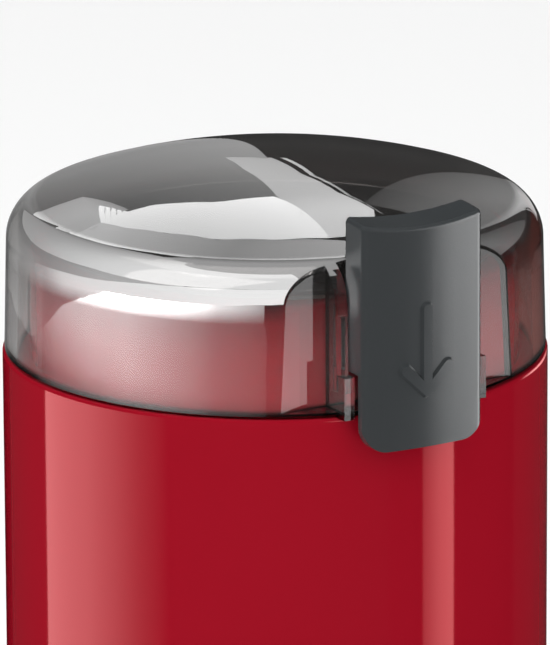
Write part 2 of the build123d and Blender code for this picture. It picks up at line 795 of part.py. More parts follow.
with BuildPart() as switch_bracket:
    bracket_half = switch_offset + switch_width / 2
    with BuildSketch(Plane.YZ.offset(-bracket_half)):
        with BuildLine():
            plate_back = -(switch_plate_distance - switch_sheet)
            Polyline(
                (-switch_plate_distance, bracket_bottom),
                (-switch_plate_distance, switch_shelf),
                (-switch_plate_distance - switch_depth, switch_shelf),
                (-switch_plate_distance - switch_depth, switch_shelf - switch_sheet),
                (plate_back, switch_shelf - switch_sheet),
                (plate_back, bracket_bottom - switch_sheet),
                (plate_back + switch_flange, bracket_bottom - switch_sheet),
                (plate_back + switch_flange, bracket_bottom),
                close=True,
            )
        make_face()
    extrude(amount=2 * bracket_half)
    with BuildSketch(Plane.XZ.offset(switch_plate_distance)):
        with Locations((-switch_offset, switch_shelf + switch_height / 4)):
            with GridLocations(switch_screw_share * switch_width, 0, 2, 1):
                Circle(switch_screw_radius + bearing_clearance)
    extrude(amount=-switch_sheet, mode=Mode.SUBTRACT)
    with BuildSketch(Plane.XY.offset(switch_shelf)):
        with Locations((spring_offset, -switch_middle)):
            Circle(spring_radius - spring_wire)
    extrude(amount=spring_pin_height)
switch_bracket.part.label = "switch_bracket"
export_step(switch_bracket.part, "parts/switch_bracket.step")

switch_screw_length = switch_depth + switch_sheet
switch_screw = screw(switch_screw_length, switch_screw_radius, switch_screw_head, switch_screw_radius)
with BuildPart() as switch_screws:
    with BuildSketch(Plane.XZ.offset(switch_plate_distance + switch_depth)) as switch_screw_places:
        with Locations((-switch_offset, switch_shelf + switch_height / 4)):
            with GridLocations(switch_screw_share * switch_width, 0, 2, 1):
                Circle(switch_screw_radius)
    for place in switch_screw_places.sketch.faces():
        add(switch_screw.moved(Location(place.center(), (-90, 0, 0))))
switch_screws.part.label = "switch_screws"
export_step(switch_screws.part, "parts/switch_screws.step")

with BuildPart() as return_spring:
    spring = coil_spring(spring_radius, spring_wire, spring_turns, rod_bottom - switch_shelf)
    add(spring.moved(Location((spring_offset, -switch_middle, switch_shelf))))
return_spring.part.label = "return_spring"
export_step(return_spring.part, "parts/return_spring.step")

# Grinding bowl hanging in the neck's round mouth, with the gasket under its rim
with BuildPart() as grinding_bowl:
    with BuildSketch(Plane.XZ) as bowl_outside:
        with BuildLine():
            Polyline(
                (0, bowl_underside),
                (bowl_outer, bowl_underside),
                (bowl_outer, bowl_rim_top),
                (0, bowl_rim_top),
                close=True,
            )
        make_face()
        corner = bowl_outside.vertices().sort_by_distance((bowl_outer, bowl_underside, 0))[0]
        fillet(corner, bowl_corner + bowl_wall)
    revolve(axis=Axis.Z)
    with BuildSketch(Plane.XY.offset(bowl_rim_bottom)):
        Circle(bowl_radius + bowl_rim_width)
    extrude(amount=bowl_wall)
    with BuildSketch(Plane.XZ) as bowl_inside:
        with BuildLine():
            Polyline(
                (0, bowl_floor),
                (bowl_radius, bowl_floor),
                (bowl_radius, bowl_rim_top),
                (0, bowl_rim_top),
                close=True,
            )
        make_face()
        corner = bowl_inside.vertices().sort_by_distance((bowl_radius, bowl_floor, 0))[0]
        fillet(corner, bowl_corner)
    revolve(axis=Axis.Z, mode=Mode.SUBTRACT)
    with BuildSketch(Plane.XY.offset(bowl_floor)):
        Circle(seal_radius)
    extrude(amount=-bowl_wall, mode=Mode.SUBTRACT)
    fillet(grinding_bowl.edges().group_by(Axis.Z)[-1], bowl_wall / 3)
grinding_bowl.part.label = "grinding_bowl"
export_step(grinding_bowl.part, "parts/grinding_bowl.step")

with BuildPart() as bowl_gasket:
    with BuildSketch(Plane.XY.offset(neck_top)):
        Circle(bowl_radius + bowl_rim_width - bowl_wall)
        Circle(bowl_seat_radius, mode=Mode.SUBTRACT)
    extrude(amount=gasket_thickness)
bowl_gasket.part.label = "bowl_gasket"
export_step(bowl_gasket.part, "parts/bowl_gasket.step")

with BuildPart() as shaft_seal:
    with BuildSketch(Plane.XY.offset(boss_top)):
        Circle(seal_flange_radius - seal_flange_height)
    extrude(amount=bowl_underside - boss_top)
    with BuildSketch(Plane.XY.offset(bowl_underside)):
        Circle(seal_radius - seat_clearance)
    extrude(amount=bowl_wall)
    with BuildSketch(Plane.XY.offset(bowl_floor)):
        Circle(seal_flange_radius)
    extrude(amount=seal_flange_height)
    fillet(shaft_seal.edges().group_by(Axis.Z)[-1], seal_flange_height / 2)
    with BuildSketch(Plane.XY.offset(boss_top)):
        Circle(shaft_radius + seal_lip_gap)
    extrude(amount=seal_top - boss_top, mode=Mode.SUBTRACT)
shaft_seal.part.label = "shaft_seal"
export_step(shaft_seal.part, "parts/shaft_seal.step")

# Motor bracket: plate with three lugs, bearing boss and four stand-offs for the stator
with BuildPart() as motor_bracket:
    with BuildSketch(Plane.XY.offset(bracket_bottom)):
        Circle(bracket_radius)
        with PolarLocations(body_inner / 2, 3, start_angle=post_angle):
            Rectangle(body_inner, lug_width)
        Circle(body_inner - 2 * lid_clearance, mode=Mode.INTERSECT)
    extrude(amount=bracket_thickness)
    with BuildSketch(Plane.XY.offset(bracket_bottom)):
        Circle(bearing_outer + bearing_boss_wall)
    extrude(amount=bearing_length)
    with BuildSketch(Plane.XY.offset(bracket_bottom)):
        with GridLocations(stator_screw_span, stator_screw_row, 2, 2):
            Circle(standoff_radius)
    extrude(amount=-stator_drop)
    with BuildSketch(Plane.XY.offset(bracket_bottom)):
        Circle(bearing_outer + seat_clearance)
        with PolarLocations(post_pitch, 3, start_angle=post_angle):
            Circle(screw_radius + screw_clearance)
    extrude(amount=bearing_length, mode=Mode.SUBTRACT)
    with BuildSketch(Plane.XY.offset(stator_top)):
        with GridLocations(stator_screw_span, stator_screw_row, 2, 2):
            Circle(screw_radius + screw_clearance)
    extrude(amount=stator_drop, mode=Mode.SUBTRACT)
motor_bracket.part.label = "motor_bracket"
export_step(motor_bracket.part, "parts/motor_bracket.step")

with BuildPart() as motor_dampers:
    with BuildSketch(Plane.XY.offset(bracket_top)):
        with PolarLocations(post_pitch, 3, start_angle=post_angle):
            Circle(post_radius - post_sink)
            Circle(screw_radius + screw_clearance, mode=Mode.SUBTRACT)
    extrude(amount=damper_thickness)
motor_dampers.part.label = "motor_dampers"
export_step(motor_dampers.part, "parts/motor_dampers.step")

bracket_screw = screw(bracket_screw_length, screw_radius, screw_head_radius, screw_head_height)
with BuildPart() as bracket_screws:
    with PolarLocations(post_pitch, 3, start_angle=post_angle):
        add(bracket_screw.moved(Location((0, 0, bracket_bottom))))
bracket_screws.part.label = "bracket_screws"
export_step(bracket_screws.part, "parts/bracket_screws.step")

with BuildPart() as upper_bearing:
    with BuildSketch(Plane.XY.offset(bracket_bottom)):
        Circle(bearing_outer)
        Circle(shaft_radius + bearing_clearance, mode=Mode.SUBTRACT)
    extrude(amount=bearing_length)
upper_bearing.part.label = "upper_bearing"
export_step(upper_bearing.part, "parts/upper_bearing.step")

# Stator: closed yoke with two poles, and a coil round the neck of each pole
with BuildPart() as stator_core:
    with BuildSketch(Plane.XY.offset(stator_bottom)):
        RectangleRounded(stator_width, stator_depth, stator_corner)
        RectangleRounded(
            stator_width - 2 * yoke_side,
            stator_depth - 2 * yoke_end,
            stator_corner - yoke_side,
            mode=Mode.SUBTRACT,
        )
        Rectangle(stator_width - yoke_side, pole_width)
        with BuildSketch(mode=Mode.PRIVATE) as shoes:
            Circle(stator_bore + pole_shoe)
            Rectangle(4 * stator_bore, 2 * pole_shoe_half, mode=Mode.INTERSECT)
        add(shoes.sketch)
        Circle(stator_bore, mode=Mode.SUBTRACT)
        with GridLocations(stator_screw_span, stator_screw_row, 2, 2):
            Circle(screw_radius + screw_clearance, mode=Mode.SUBTRACT)
    extrude(amount=stator_stack)
stator_core.part.label = "stator_core"
export_step(stator_core.part, "parts/stator_core.step")

with BuildPart() as field_coils:
    coil_plane = Plane(origin=(coil_start, 0, stator_middle), x_dir=(0, 1, 0), z_dir=(1, 0, 0))
    coil_inside = (pole_width + 2 * coil_gap, stator_stack + 2 * coil_gap)
    with BuildSketch(coil_plane):
        RectangleRounded(coil_inside[0] + 2 * coil_build, coil_inside[1] + 2 * coil_build, coil_build)
        Rectangle(coil_inside[0], coil_inside[1], mode=Mode.SUBTRACT)
    extrude(amount=coil_end - coil_start)
    mirror(about=Plane.YZ)
field_coils.part.label = "field_coils"
export_step(field_coils.part, "parts/field_coils.step")

stator_screw_length = stator_top + stator_screw_bite - lower_plate_bottom
stator_screw = screw(stator_screw_length, screw_radius, screw_head_radius, screw_head_height)
with BuildPart() as stator_screws:
    with GridLocations(stator_screw_span, stator_screw_row, 2, 2):
        add(stator_screw.moved(Location((0, 0, lower_plate_bottom))))
stator_screws.part.label = "stator_screws"
export_step(stator_screws.part, "parts/stator_screws.step")

# Lower bracket: bridge with two legs under the stator, carrying the lower bearing and the brushes
holder_width = brush_width + 2 * brush_clearance + 2 * holder_wall
holder_height = brush_height + 2 * brush_clearance + 2 * holder_wall
brush_plane = Plane(origin=(0, 0, brush_level), x_dir=(1, 0, 0), z_dir=(0, 1, 0))
with BuildPart() as lower_bracket:
    with BuildSketch(Plane.XY.offset(lower_plate_bottom)):
        Rectangle(leg_width - 2 * bridge_inset, stator_depth)
        with GridLocations(0, stator_screw_row, 1, 2):
            Rectangle(leg_width, yoke_end)
    extrude(amount=lower_plate)
    with BuildSketch(Plane.XY.offset(lower_plate_bottom)):
        with GridLocations(0, stator_screw_row, 1, 2):
            Rectangle(leg_width, yoke_end)
    extrude(amount=stator_bottom - lower_plate_bottom)
    with BuildSketch(Plane.XY.offset(lower_plate_top)):
        Circle(bearing_outer + bearing_boss_wall)
    extrude(amount=-bearing_length)
    with BuildSketch(Plane.XY.offset(lower_plate_top)):
        Circle(bearing_outer + seat_clearance)
    extrude(amount=-bearing_length, mode=Mode.SUBTRACT)
    with BuildSketch(Plane.XY.offset(lower_plate_bottom)):
        with GridLocations(stator_screw_span, stator_screw_row, 2, 2):
            Circle(screw_radius + screw_clearance)
    extrude(amount=stator_bottom - lower_plate_bottom, mode=Mode.SUBTRACT)
    with BuildSketch(brush_plane):
        Rectangle(holder_width + 2 * seat_clearance, holder_height + 2 * seat_clearance)
    extrude(amount=stator_depth, both=True, mode=Mode.SUBTRACT)
lower_bracket.part.label = "lower_bracket"
export_step(lower_bracket.part, "parts/lower_bracket.step")

with BuildPart() as lower_bearing:
    with BuildSketch(Plane.XY.offset(lower_plate_top)):
        Circle(bearing_outer)
        Circle(shaft_radius + bearing_clearance, mode=Mode.SUBTRACT)
    extrude(amount=-bearing_length)
lower_bearing.part.label = "lower_bearing"
export_step(lower_bearing.part, "parts/lower_bearing.step")

with BuildPart() as brush_holders:
    with BuildSketch(brush_plane.offset(holder_start)):
        Rectangle(holder_width, holder_height)
        Rectangle(holder_width - 2 * holder_wall, holder_height - 2 * holder_wall, mode=Mode.SUBTRACT)
    extrude(amount=holder_end - holder_start)
    mirror(about=Plane.XZ)
brush_holders.part.label = "brush_holders"
export_step(brush_holders.part, "parts/brush_holders.step")

with BuildPart() as carbon_brushes:
    with BuildSketch(brush_plane):
        Rectangle(brush_width, brush_height)
    extrude(amount=brush_end)
    mirror(about=Plane.XZ)
    with BuildSketch(Plane.XY.offset(commutator_bottom)):
        Circle(commutator_radius + brush_gap)
    extrude(amount=commutator_length, mode=Mode.SUBTRACT)
carbon_brushes.part.label = "carbon_brushes"
export_step(carbon_brushes.part, "parts/carbon_brushes.step")

brush_spring_length = holder_end - brush_end
brush_spring = coil_spring(
    brush_spring_radius, brush_spring_wire, brush_spring_turns, brush_spring_length
)
with BuildPart() as brush_springs:
    add(brush_spring.moved(Location((0, brush_end, brush_level), (-90, 0, 0))))
    mirror(about=Plane.XZ)
brush_springs.part.label = "brush_springs"
export_step(brush_springs.part, "parts/brush_springs.step")

with BuildPart() as brush_caps:
    with BuildSketch(brush_plane.offset(holder_end)):
        Rectangle(holder_width, holder_height)
    extrude(amount=brush_cap_thickness)
    mirror(about=Plane.XZ)
brush_caps.part.label = "brush_caps"
export_step(brush_caps.part, "parts/brush_caps.step")

# Rotor: shaft, slotted armature with its winding, commutator and spacer
with BuildPart() as motor_shaft:
    with BuildSketch(Plane.XY.offset(shaft_bottom)):
        Circle(shaft_radius)
    extrude(amount=shaft_top - shaft_bottom)
    chamfer(motor_shaft.edges().filter_by(GeomType.CIRCLE), shaft_radius / 8)
motor_shaft.part.label = "motor_shaft"
export_step(motor_shaft.part, "parts/motor_shaft.step")

rotor_bore = shaft_radius + seat_clearance
slot_outer = rotor_radius - slot_lip
slot_middle = slot_outer - slot_depth / 2
winding_round = (slot_outer - spacer_radius) / 4
with BuildPart() as armature_core:
    with BuildSketch(Plane.XY.offset(stator_bottom)):
        Circle(rotor_radius)
        Circle(rotor_bore, mode=Mode.SUBTRACT)
        with PolarLocations(slot_middle, slot_count):
            Rectangle(slot_depth, slot_width, mode=Mode.SUBTRACT)
        with PolarLocations(rotor_radius, slot_count):
            Rectangle(4 * slot_lip, slot_mouth, mode=Mode.SUBTRACT)
    extrude(amount=stator_stack)
armature_core.part.label = "armature_core"
export_step(armature_core.part, "parts/armature_core.step")

with BuildPart() as armature_winding:
    with BuildSketch(Plane.XY.offset(stator_bottom)):
        with PolarLocations(slot_middle, slot_count):
            Rectangle(slot_depth - 2 * winding_gap, slot_width - 2 * winding_gap)
    extrude(amount=stator_stack)
    for plane, height in ((Plane.XY.offset(stator_top), winding_height),
                          (Plane.XY.offset(stator_bottom), -winding_height)):
        with BuildSketch(plane):
            Circle(slot_outer)
            Circle(spacer_radius, mode=Mode.SUBTRACT)
        extrude(amount=height)
    fillet(armature_winding.edges().group_by(Axis.Z)[-1], winding_round)
    fillet(armature_winding.edges().group_by(Axis.Z)[0], winding_round)
armature_winding.part.label = "armature_winding"
export_step(armature_winding.part, "parts/armature_winding.step")

with BuildPart() as commutator:
    with BuildSketch(Plane.XY.offset(commutator_bottom)):
        Circle(commutator_radius)
        Circle(rotor_bore, mode=Mode.SUBTRACT)
        with PolarLocations(commutator_radius, 2 * slot_count):
            Rectangle(2 * commutator_slit_depth, commutator_slit, mode=Mode.SUBTRACT)
    extrude(amount=commutator_length)
commutator.part.label = "commutator"
export_step(commutator.part, "parts/commutator.step")

with BuildPart() as shaft_spacer:
    with BuildSketch(Plane.XY.offset(commutator_bottom)):
        Circle(spacer_radius)
        Circle(rotor_bore, mode=Mode.SUBTRACT)
    extrude(amount=thrust_gap - lower_bearing_drop)
shaft_spacer.part.label = "shaft_spacer"
export_step(shaft_spacer.part, "parts/shaft_spacer.step")

# Blade: two raked wings bent upwards, each with a bevelled leading edge, on a hub and under a domed nut
with BuildPart() as blade_hub:
    with BuildSketch(Plane.XY.offset(blade_hub_bottom)):
        Circle(blade_hub_radius)
        Circle(rotor_bore, mode=Mode.SUBTRACT)
    extrude(amount=blade_hub_height)
blade_hub.part.label = "blade_hub"
export_step(blade_hub.part, "parts/blade_hub.step")

with BuildPart() as grinding_blade:
    blade_half = bowl_radius - blade_tip_gap
    blade_rise = (blade_half - blade_flat) * math.tan(math.radians(blade_bend))
    with BuildSketch(Plane.XZ):
        with BuildLine():
            Polyline(
                (-blade_half, blade_bottom + blade_rise),
                (-blade_flat, blade_bottom),
                (blade_flat, blade_bottom),
                (blade_half, blade_bottom + blade_rise),
                (blade_half, blade_top + blade_rise),
                (blade_flat, blade_top),
                (-blade_flat, blade_top),
                (-blade_half, blade_top + blade_rise),
                close=True,
            )
        make_face()
    extrude(amount=blade_width / 2, both=True)
    with BuildSketch(Plane.XY.offset(blade_bottom)):
        with BuildLine():
            Polyline(
                (blade_half, blade_tip_lead),
                (blade_half - blade_tip_rake, -blade_tip_trail),
                (blade_flat, -blade_width / 2),
                (-blade_half, -blade_tip_lead),
                (blade_tip_rake - blade_half, blade_tip_trail),
                (-blade_flat, blade_width / 2),
                close=True,
            )
        make_face()
        Circle(rotor_bore, mode=Mode.SUBTRACT)
    extrude(amount=blade_rise + blade_thickness, mode=Mode.INTERSECT)
    right_wing = grinding_blade.edges().filter_by_position(Axis.X, blade_flat, blade_half)
    left_wing = grinding_blade.edges().filter_by_position(Axis.X, -blade_half, -blade_flat)
    leading_right = right_wing.group_by(Axis.Y)[-1].sort_by(Axis.Z)[-1]
    leading_left = left_wing.group_by(Axis.Y)[0].sort_by(Axis.Z)[-1]
    chamfer((leading_right, leading_left), blade_bevel)
grinding_blade.part.label = "grinding_blade"
export_step(grinding_blade.part, "parts/grinding_blade.step")

with BuildPart() as blade_nut:
    with BuildSketch(Plane.XY.offset(blade_top)):
        RegularPolygon(nut_across_flats / 2, 6, major_radius=False)
    extrude(amount=nut_height)
    with BuildSketch(Plane.XZ):
        with BuildLine():
            cap_radius = nut_cap_share * nut_across_flats
            cap_base = blade_top + nut_height
            Line((0, cap_base - nut_dome), (cap_radius, cap_base - nut_dome))
            Line((cap_radius, cap_base - nut_dome), (cap_radius, cap_base))
            cap_sphere = (cap_radius**2 + nut_dome**2) / (2 * nut_dome)
            cap_middle = nut_top - cap_sphere + math.sqrt(cap_sphere**2 - cap_radius**2 / 4)
            ThreePointArc((cap_radius, cap_base), (cap_radius / 2, cap_middle), (0, nut_top))
            Line((0, nut_top), (0, cap_base - nut_dome))
        make_face()
    revolve(axis=Axis.Z)
    with BuildSketch(Plane.XY.offset(blade_top)):
        Circle(rotor_bore)
    extrude(amount=shaft_top - blade_top + seat_clearance, mode=Mode.SUBTRACT)
blade_nut.part.label = "blade_nut"
export_step(blade_nut.part, "parts/blade_nut.step")
print("overall height", round(button_top, 1), "depth", round(2 * sleeve_end, 1))
print("cord inlet: level", gland_level, "from", gland_back, "to", sleeve_end)
print("switch shelf", switch_shelf, "nut top", nut_top, "bowl rim", bowl_rim_top)
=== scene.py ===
# %% [markdown]
# # Electric coffee grinder
# An upright blade grinder has a red housing, a smoke-clear lid and a grey button on the lid's facet.
# The imported CAD solids are the fixed frame of this scene, and every solid keeps its place and size.
# This lesson adds the camera, the studio and the finishes, and a copy of the return spring that stands
# in for the solid one.

import json
import math

import bpy
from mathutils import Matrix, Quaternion, Vector


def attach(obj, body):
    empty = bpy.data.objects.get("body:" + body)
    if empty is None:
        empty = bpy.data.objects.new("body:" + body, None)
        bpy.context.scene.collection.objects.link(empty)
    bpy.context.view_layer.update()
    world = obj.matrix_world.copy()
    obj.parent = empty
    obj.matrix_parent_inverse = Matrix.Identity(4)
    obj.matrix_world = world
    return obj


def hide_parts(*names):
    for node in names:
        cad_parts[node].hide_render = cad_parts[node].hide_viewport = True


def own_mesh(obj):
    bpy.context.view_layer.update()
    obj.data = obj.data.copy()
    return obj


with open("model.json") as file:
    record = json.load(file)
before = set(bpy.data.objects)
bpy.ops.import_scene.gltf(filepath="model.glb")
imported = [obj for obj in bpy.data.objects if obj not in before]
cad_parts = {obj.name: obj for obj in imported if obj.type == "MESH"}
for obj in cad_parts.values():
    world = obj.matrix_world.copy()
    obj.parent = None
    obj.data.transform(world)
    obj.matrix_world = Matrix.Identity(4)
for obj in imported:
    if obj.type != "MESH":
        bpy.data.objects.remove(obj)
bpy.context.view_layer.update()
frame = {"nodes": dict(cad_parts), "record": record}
nodes = frame["nodes"]
scene = bpy.context.scene

# %% [markdown]
# ## Camera
# The photograph is taken with a long lens from a little above the lid, with the button turned to the
# right. A camera could be fitted by eye, but the seam between lid and housing is a circle of known
# size: its ellipse in the picture gives the angle, and its width gives the lens. The camera aims at a
# point just above its centre.

# %% Camera at the photograph's angle
SEAM_HEIGHT = 0.137
CAMERA_AZIMUTH = math.radians(-30.0)
CAMERA_ELEVATION = math.radians(15.86)
CAMERA_DISTANCE = 1.3
CAMERA_LENS = 460.0
CAMERA_ROLL = math.radians(-0.29)
AIM_RISE = 0.00327
NEAREST_SEEN = 0.05
FARTHEST_SEEN = 50.0

level = Vector((math.sin(CAMERA_AZIMUTH), -math.cos(CAMERA_AZIMUTH), 0))
towards_camera = level * math.cos(CAMERA_ELEVATION) + Vector((0, 0, math.sin(CAMERA_ELEVATION)))
picture_up = Vector((0, 0, math.cos(CAMERA_ELEVATION))) - level * math.sin(CAMERA_ELEVATION)
aim = Vector((0, 0, SEAM_HEIGHT)) + picture_up * AIM_RISE

camera_data = bpy.data.cameras.new("camera")
camera_data.lens = CAMERA_LENS
camera_data.clip_start = NEAREST_SEEN
camera_data.clip_end = FARTHEST_SEEN
camera = bpy.data.objects.new("camera", camera_data)
scene.collection.objects.link(camera)
camera.location = aim + towards_camera * CAMERA_DISTANCE
camera.rotation_mode = "QUATERNION"
roll = Quaternion((0, 0, 1), CAMERA_ROLL)
camera.rotation_quaternion = (-towards_camera).to_track_quat("-Z", "Y") @ roll
scene.camera = camera
print("camera at", [round(v, 3) for v in camera.location])

# %% [markdown]
# ## Floor
# A pale floor carries the object. Gloss plastic shows little but what it mirrors, and a white floor
# would fill the lower half of every reflection. So the floor is left out of mirrors and of what is seen
# through the lid, and panels stand wherever the photograph shows a bright shape.

# %% Floor
FLOOR_SIZE = 24.0
FLOOR_SHADE = 0.95
FLOOR_ROUGHNESS = 0.9
FLOOR_GLOSS = 0.1
FLOOR_GLOW = 0.08

bpy.ops.object.select_all(action="DESELECT")
bpy.ops.mesh.primitive_plane_add(size=FLOOR_SIZE, location=(0, 0, 0))
floor = bpy.context.object
floor.name = "floor"
floor_finish = bpy.data.materials.new("pale_floor")
floor_finish.use_nodes = True
floor_shader = floor_finish.node_tree.nodes["Principled BSDF"]
floor_shader.inputs["Base Color"].default_value = (FLOOR_SHADE, FLOOR_SHADE, FLOOR_SHADE, 1)
floor_shader.inputs["Roughness"].default_value = FLOOR_ROUGHNESS
floor_shader.inputs["Specular IOR Level"].default_value = FLOOR_GLOSS
floor_shader.inputs["Emission Color"].default_value = (1, 1, 1, 1)
floor_shader.inputs["Emission Strength"].default_value = FLOOR_GLOW
floor.data.materials.append(floor_finish)
floor.visible_glossy = False
floor.visible_transmission = False
print("floor of", FLOOR_SIZE, "m laid")

# %% [markdown]
# ## Room light
# The room is white to dull surfaces, nearly black to gloss ones and dim to light that comes through the
# lid. One strength for all would be simpler, but it would wash out the lid's dark smoke tone.

# %% Room light
ROOM_LIGHT = 0.42
ROOM_IN_GLOSS = 0.03
ROOM_THROUGH_LID = 0.1

scene.view_settings.view_transform = "Standard"
world = bpy.data.worlds.new("studio")
scene.world = world
world.use_nodes = True
room = world.node_tree
sky = room.nodes["Background"]
sky.inputs["Color"].default_value = (1, 1, 1, 1)
ray = room.nodes.new("ShaderNodeLightPath")
gloss_mix = room.nodes.new("ShaderNodeMix")
gloss_mix.inputs["A"].default_value = ROOM_LIGHT
gloss_mix.inputs["B"].default_value = ROOM_IN_GLOSS
lid_mix = room.nodes.new("ShaderNodeMix")
lid_mix.inputs["B"].default_value = ROOM_THROUGH_LID
room.links.new(ray.outputs["Is Glossy Ray"], gloss_mix.inputs["Factor"])
room.links.new(gloss_mix.outputs["Result"], lid_mix.inputs["A"])
room.links.new(ray.outputs["Is Transmission Ray"], lid_mix.inputs["Factor"])
room.links.new(lid_mix.outputs["Result"], sky.inputs["Strength"])
print("room light:", ROOM_LIGHT, "in gloss:", ROOM_IN_GLOSS, "through the lid:", ROOM_THROUGH_LID)

# %% [markdown]
# ## Lamps
# Three wide lamps light the colours from the left front, the right and above. A sun would throw a hard
# shadow, so these are area lights. They show in no reflection, because the panels below are what the
# gloss mirrors.

# %% Lamps
LID_MIDDLE = Vector((0, 0, 0.15))
LAMP_DISTANCE = 2.2


def bearing(angle, elevation):
    """A direction from the object: angle is to the right of the camera, in degrees."""
    turn = CAMERA_AZIMUTH + math.radians(angle)
    flat = Vector((math.sin(turn), -math.cos(turn), 0)) * math.cos(math.radians(elevation))
    return flat + Vector((0, 0, math.sin(math.radians(elevation))))


def lamp(name, angle, elevation, width, power):
    """A square area light that faces the object and shows in no reflection."""
    data = bpy.data.lights.new(name, "AREA")
    data.size = width
    data.energy = power
    light = bpy.data.objects.new(name, data)
    scene.collection.objects.link(light)
    out = bearing(angle, elevation)
    light.location = LID_MIDDLE + out * LAMP_DISTANCE
    light.rotation_mode = "QUATERNION"
    light.rotation_quaternion = out.to_track_quat("Z", "Y")
    light.visible_camera = False
    light.visible_glossy = False


lamp("key_lamp", angle=-50, elevation=50, width=1.8, power=22)
lamp("fill_lamp", angle=60, elevation=35, width=1.6, power=8)
lamp("top_lamp", angle=180, elevation=80, width=2.0, power=18)
print("lamps stand", LAMP_DISTANCE, "m away")

# %% [markdown]
# ## Mirrored panels
# A panel is a bright patch of a sphere round the lid, between two edges that are given as rows of
# bearings and elevations. Area lamps could stand there too, but a patch of mesh takes the outline of a
# highlight, fades from side to side and can be kept to chosen pieces. A panel still hides what is
# behind it from the other pieces, so the panels are placed with that in mind.

# %% Groups of pieces that mirror the same panels


def shown_in(name, chosen):
    """A group of pieces that mirror a panel."""
    group = bpy.data.collections.new(name)
    for node_name in chosen:
        group.objects.link(nodes[node_name])
    return group


WALL_PIECES = ["housing", "base_cover"]
BUTTON_PIECES = ["start_button"]
REST_PIECES = [name for name in nodes if name not in WALL_PIECES + BUTTON_PIECES]
WALL = shown_in("mirrors_on_wall", WALL_PIECES)
BUTTON = shown_in("mirrors_on_button", BUTTON_PIECES)
REST = shown_in("mirrors_on_rest", REST_PIECES)

# %% Panel mesh
PANEL_STEPS = 24


def along(points, share):
    """The point at a share of the way along a row of points, each a tuple of numbers."""
    place = share * (len(points) - 1)
    index = min(int(place), len(points) - 2)
    rest = place - index
    return [a + (b - a) * rest for a, b in zip(points[index], points[index + 1])]


def panel_mesh(name, low_edge, high_edge, fade, rise, distance):
    """A grid between two edges, with a weight on each point: fade runs along the edges, rise across."""
    places = []
    weights = []
    faces = []
    row = PANEL_STEPS + 1
    fade_points = [(weight,) for weight in fade]
    rise_points = [(weight,) for weight in rise]
    for j in range(row):
        for i in range(row):
            share = i / PANEL_STEPS
            edges = along(low_edge, share), along(high_edge, share)
            angle, elevation = along(edges, j / PANEL_STEPS)
            places.append(LID_MIDDLE + bearing(angle, elevation) * distance)
            weights.append(along(fade_points, share)[0] * along(rise_points, j / PANEL_STEPS)[0])
    for j in range(PANEL_STEPS):
        for i in range(PANEL_STEPS):
            corner = j * row + i
            faces.append((corner, corner + 1, corner + row + 1, corner + row))
    mesh = bpy.data.meshes.new(name)
    mesh.from_pydata(places, [], faces)
    layer = mesh.attributes.new("fade", "FLOAT", "POINT")
    for item, weight in zip(layer.data, weights):
        item.value = weight
    return mesh


print("panels have", PANEL_STEPS, "steps a side")

# %% Panel glow
BOUNCE_LIMIT = 0.5


def panel_glow(name, strength, colour, lights_only):
    """Light by the points' weights. With lights_only, it reaches dull surfaces but isn't seen itself."""
    glow = bpy.data.materials.new(name)
    glow.use_nodes = True
    tree = glow.node_tree
    tree.nodes.clear()
    out = tree.nodes.new("ShaderNodeOutputMaterial")
    emission = tree.nodes.new("ShaderNodeEmission")
    emission.inputs["Color"].default_value = (*colour, 1)
    weight = tree.nodes.new("ShaderNodeAttribute")
    weight.attribute_name = "fade"
    scale = tree.nodes.new("ShaderNodeMath")
    scale.operation = "MULTIPLY"
    scale.inputs[1].default_value = strength
    tree.links.new(weight.outputs["Fac"], scale.inputs[0])
    tree.links.new(scale.outputs[0], emission.inputs["Strength"])
    if lights_only:
        path = tree.nodes.new("ShaderNodeLightPath")
        scattered = tree.nodes.new("ShaderNodeMath")
        scattered.operation = "GREATER_THAN"
        scattered.inputs[1].default_value = BOUNCE_LIMIT
        shown = tree.nodes.new("ShaderNodeMath")
        shown.operation = "MULTIPLY"
        tree.links.new(path.outputs["Diffuse Depth"], scattered.inputs[0])
        tree.links.new(scattered.outputs[0], shown.inputs[0])
        tree.links.new(scale.outputs[0], shown.inputs[1])
        tree.links.new(shown.outputs[0], emission.inputs["Strength"])
    tree.links.new(emission.outputs[0], out.inputs["Surface"])
    return glow


print("a panel that only lights starts after", BOUNCE_LIMIT, "of a bounce")

# %% Panels
PANEL_DISTANCE = 2.5
EVEN = (1, 1)
WHITE = (1, 1, 1)


def mirrored_panel(
    name, group, low_edge, high_edge, strength,
    fade=EVEN, rise=EVEN, colour=WHITE, inside=False, lights_only=False, distance=PANEL_DISTANCE,
):
    """A bright patch of a sphere, mirrored by a group of pieces, or seen only through the lid if inside."""
    mesh = panel_mesh(name, low_edge, high_edge, fade, rise, distance)
    mesh.materials.append(panel_glow(name, strength, colour, lights_only))
    panel = bpy.data.objects.new(name, mesh)
    scene.collection.objects.link(panel)
    panel.visible_camera = False
    panel.visible_diffuse = False
    panel.visible_shadow = False
    panel.visible_glossy = not inside
    panel.visible_transmission = inside
    panel.light_linking.receiver_collection = group


def level_panel(name, group, left, right, low, high, strength, **settings):
    """A panel between two bearings and two elevations."""
    low_edge = (left, low), (right, low)
    high_edge = (left, high), (right, high)
    mirrored_panel(name, group, low_edge, high_edge, strength, **settings)


print("panels stand", PANEL_DISTANCE, "m away")

# %% [markdown]
# ## The tent in front
# A long white gleam runs round the rolled shoulder of the lid. It could be painted into the lid's
# colour, but then it would stay in place when the view turns. Here the shoulder mirrors a white tent
# that stands close in front. The tent's lower edge is the curve where the white ends on the lid's side,
# a grey streak shows where two of its sheets part at the left, and a roof closes it above.

